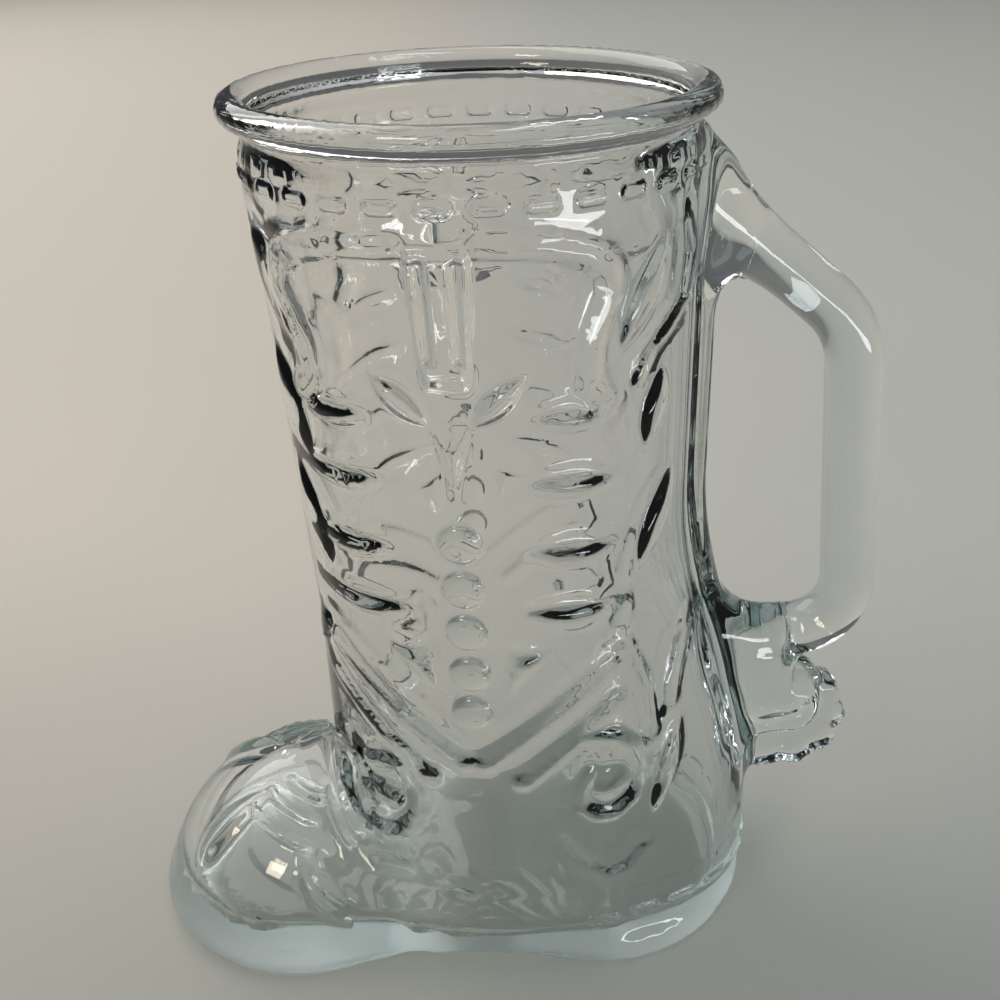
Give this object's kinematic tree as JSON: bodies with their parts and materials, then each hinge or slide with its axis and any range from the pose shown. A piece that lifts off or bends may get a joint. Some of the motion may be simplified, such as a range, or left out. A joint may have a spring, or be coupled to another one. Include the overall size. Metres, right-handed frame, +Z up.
{
  "type": "glass boot mug",
  "caption": "Clear pressed-glass beer mug shaped as a western boot, with a rolled rim, moulded stitching and leaf relief, a D handle up the back and a spur under it.",
  "frame": {"origin": "on the table under the middle of the mug's bounding box, between toe and handle", "axes": "+Z up along the leg, -X towards the toe, +X towards the handle, Y across the foot"},
  "size_m": [0.18, 0.098, 0.203],
  "materials": {
    "glass": "clear pressed glass, fire-polished, with a faint cool tint where it is thick"
  },
  "bodies": {
    "root": {"boot_leg": "glass", "boot_foot": "glass", "rim_bead": "glass", "toe_sole": "glass", "heel_block": "glass", "back_stay": "glass", "handle": "glass", "spur_yoke": "glass", "spur_rowel": "glass", "top_stitches": "glass", "bead_row_left": "glass", "bead_row_right": "glass", "pull_strap_left": "glass", "pull_strap_right": "glass", "strap_point_left": "glass", "strap_point_right": "glass", "strap_leaves_left": "glass", "strap_leaves_right": "glass", "rib_leaves_left": "glass", "rib_leaves_right": "glass", "flank_leaves_left": "glass", "flank_leaves_right": "glass", "border_leaves_left": "glass", "border_leaves_right": "glass", "chevrons_left": "glass", "chevrons_right": "glass", "ankle_scrolls_left": "glass", "ankle_scrolls_right": "glass"}
  },
  "joints": []
}
